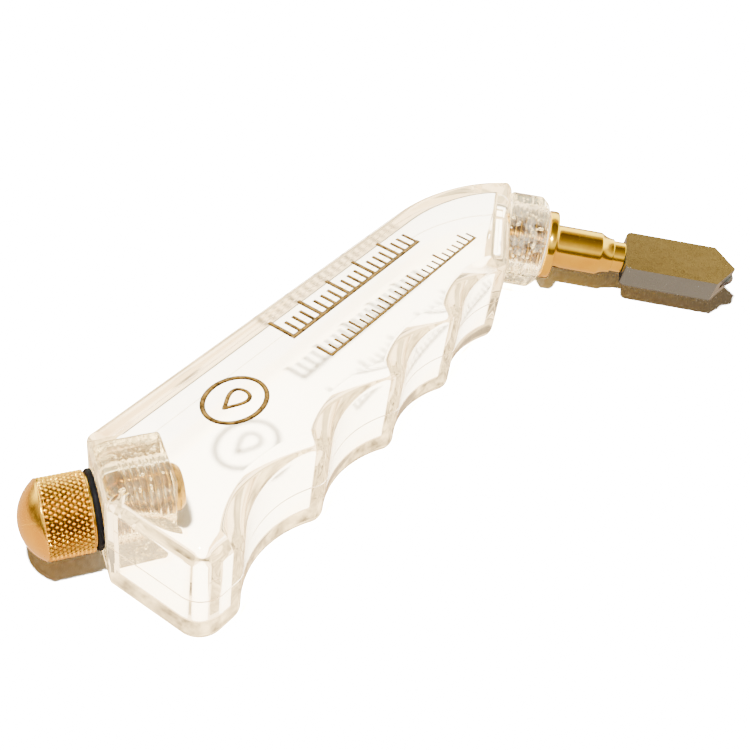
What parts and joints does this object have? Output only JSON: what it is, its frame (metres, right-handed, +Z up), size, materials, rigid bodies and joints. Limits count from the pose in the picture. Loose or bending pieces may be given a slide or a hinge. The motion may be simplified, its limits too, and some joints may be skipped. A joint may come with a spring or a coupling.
{
  "type": "oil-fed glass cutter",
  "caption": "Pistol-grip glass cutter: clear hollow handle with finger grooves, knurled brass filler cap, brass neck and a steel head with a small cutting wheel.",
  "frame": {"origin": "on the flat left side face the tool lies on, under the middle of the grip", "axes": "+X from heel to nose along the back of the grip, +Y towards the back of the hand, +Z up, square to the flat sides"},
  "size_m": [0.143, 0.0625, 0.02],
  "materials": {
    "clear_acrylic": "clear polished acrylic, welded halves",
    "bushing_acrylic": "clear acrylic, glued in, with small bubbles",
    "cap_brass": "knurled and polished brass",
    "neck_brass": "turned and polished brass",
    "black_rubber": "black rubber",
    "white_nylon": "natural nylon",
    "spring_steel": "bright spring wire",
    "head_steel": "ground and lightly brushed steel",
    "screw_steel": "dark steel",
    "wheel_carbide": "ground carbide"
  },
  "bodies": {
    "handle": {"handle_left_half": "clear_acrylic", "handle_right_half": "clear_acrylic", "filler_bushing": "bushing_acrylic", "nose_bushing": "bushing_acrylic", "neck_gasket": "white_nylon", "neck_body": "neck_brass", "valve_seat": "black_rubber", "valve_spring": "spring_steel", "spring_plug": "neck_brass"},
    "cap_slider": {"cap_washer": "black_rubber"},
    "cap": {"filler_cap": "cap_brass", "cap_screw": "cap_brass"},
    "stem": {"head_stem": "neck_brass", "stem_seal": "black_rubber", "valve_poppet": "neck_brass"},
    "head": {"head_block": "head_steel", "head_screw": "screw_steel", "wheel_axle": "wheel_carbide"},
    "wheel": {"cutting_wheel": "wheel_carbide"}
  },
  "joints": [
    {"name": "cap_travel", "type": "slide", "parent": "handle", "child": "cap_slider", "axis": [-0.8339, 0.5519, 0], "range_m": [0, 0.013]},
    {"name": "cap_turn", "type": "hinge", "parent": "cap_slider", "child": "cap", "pos_m": [-0.05599, 0.00897, 0.01], "axis": [-0.8339, 0.5519, 0], "range_deg": [0, 4680]},
    {"name": "stem_plunge", "type": "slide", "parent": "handle", "child": "stem", "axis": [-0.454, 0.891, 0], "range_m": [0, 0.0005], "stiffness_N_per_m": 4000, "springref_m": -0.0005, "deforming": ["valve_spring"]},
    {"name": "head_swivel", "type": "hinge", "parent": "stem", "child": "head", "pos_m": [0.05828, -0.014, 0.01], "axis": [0.454, -0.891, 0], "range_deg": [-28, 2]},
    {"name": "wheel_spin", "type": "hinge", "parent": "head", "child": "wheel", "pos_m": [0.07217, -0.04126, 0.01], "axis": [-0.2004, -0.1021, 0.9744], "continuous": true}
  ],
  "couplings": [
    {"joint": "cap_travel", "follows": "cap_turn", "m_per_rad": 0.00015915}
  ]
}
